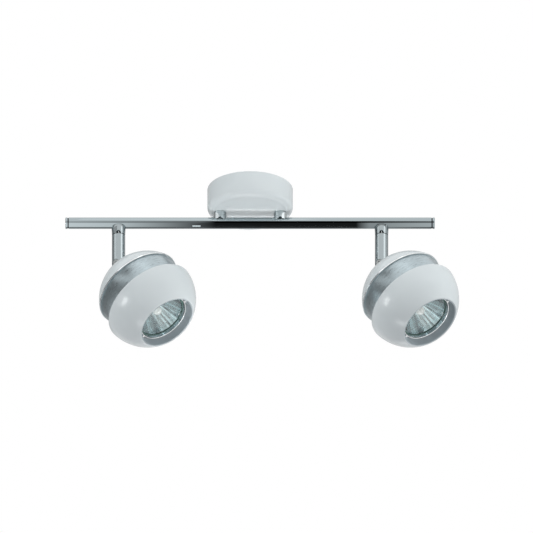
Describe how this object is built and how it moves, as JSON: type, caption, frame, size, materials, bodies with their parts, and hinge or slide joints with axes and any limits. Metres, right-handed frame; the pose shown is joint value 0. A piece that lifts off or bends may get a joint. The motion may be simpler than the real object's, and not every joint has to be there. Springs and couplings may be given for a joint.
{
  "type": "ceiling spotlight bar",
  "caption": "Ceiling spotlight bar: a round canopy on short posts carries a chrome bar with ball-shaped heads that swivel and tilt, each with a recessed reflector lamp.",
  "frame": {"origin": "centre of the canopy's ceiling face", "axes": "+Z into the ceiling, +X along the bar, the heads face the -Y side"},
  "size_m": [0.3939, 0.1052, 0.177],
  "materials": {
    "white_paint": "satin white powder coat",
    "chrome": "polished chrome plating",
    "brushed_aluminium": "aluminium brushed round the drum",
    "grey_sleeve": "smooth satin grey",
    "zinc_steel": "zinc plated",
    "dark_steel": "blackened",
    "brass": "bright brass",
    "ceramic": "unglazed white ceramic",
    "terminal_plastic": "moulded white plastic",
    "reflector_mirror": "glass bowl with a faceted mirror coating",
    "cover_glass": "clear glass with a green edge",
    "burner_glass": "clear quartz"
  },
  "bodies": {
    "base": {"canopy": "white_paint", "mounting_bracket": "zinc_steel", "canopy_screws": "chrome", "terminal_block": "terminal_plastic", "terminal_screws": "brass", "earth_screw": "brass", "post_left": "chrome", "post_right": "chrome", "post_nipples": "zinc_steel", "post_nuts": "zinc_steel", "post_washers": "zinc_steel", "bar_tube": "chrome", "end_cap_left": "chrome", "end_cap_right": "chrome", "stem_collar_left": "chrome", "stem_collar_right": "chrome", "swivel_nipples": "zinc_steel", "swivel_nuts": "zinc_steel"},
    "stem_left": {"stem_left": "chrome", "stop_peg_left": "dark_steel", "pivot_screw_left": "chrome"},
    "head_left": {"tilt_tongue_left": "chrome", "dome_hub_left": "zinc_steel", "rear_dome_left": "white_paint", "drum_left": "brushed_aluminium", "front_shell_left": "white_paint", "inner_sleeve_left": "grey_sleeve", "retaining_ring_left": "chrome", "reflector_left": "reflector_mirror", "cover_glass_left": "cover_glass", "burner_left": "burner_glass", "lamp_base_left": "ceramic", "lamp_pins_left": "zinc_steel", "lamp_holder_left": "ceramic", "holder_bracket_left": "zinc_steel", "holder_screws_left": "zinc_steel", "hub_screws_left": "zinc_steel", "bracket_screws_left": "zinc_steel", "sleeve_screws_left": "zinc_steel"},
    "stem_right": {"stem_right": "chrome", "stop_peg_right": "dark_steel", "pivot_screw_right": "chrome"},
    "head_right": {"tilt_tongue_right": "chrome", "dome_hub_right": "zinc_steel", "rear_dome_right": "white_paint", "drum_right": "brushed_aluminium", "front_shell_right": "white_paint", "inner_sleeve_right": "grey_sleeve", "retaining_ring_right": "chrome", "reflector_right": "reflector_mirror", "cover_glass_right": "cover_glass", "burner_right": "burner_glass", "lamp_base_right": "ceramic", "lamp_pins_right": "zinc_steel", "lamp_holder_right": "ceramic", "holder_bracket_right": "zinc_steel", "holder_screws_right": "zinc_steel", "hub_screws_right": "zinc_steel", "bracket_screws_right": "zinc_steel", "sleeve_screws_right": "zinc_steel"}
  },
  "joints": [
    {"name": "swivel_left", "type": "hinge", "parent": "base", "child": "stem_left", "pos_m": [-0.1315, 0, -0.0508], "axis": [0, 0, 1], "range_deg": [-160, 160]},
    {"name": "tilt_left", "type": "hinge", "parent": "stem_left", "child": "head_left", "pos_m": [-0.1315, 0, -0.08295], "axis": [-0.4321, -0.9018, 0], "range_deg": [-35, 45]},
    {"name": "swivel_right", "type": "hinge", "parent": "base", "child": "stem_right", "pos_m": [0.1315, 0, -0.0508], "axis": [0, 0, 1], "range_deg": [-160, 160]},
    {"name": "tilt_right", "type": "hinge", "parent": "stem_right", "child": "head_right", "pos_m": [0.1315, 0, -0.08295], "axis": [-0.4321, -0.9018, 0], "range_deg": [-35, 45]}
  ]
}
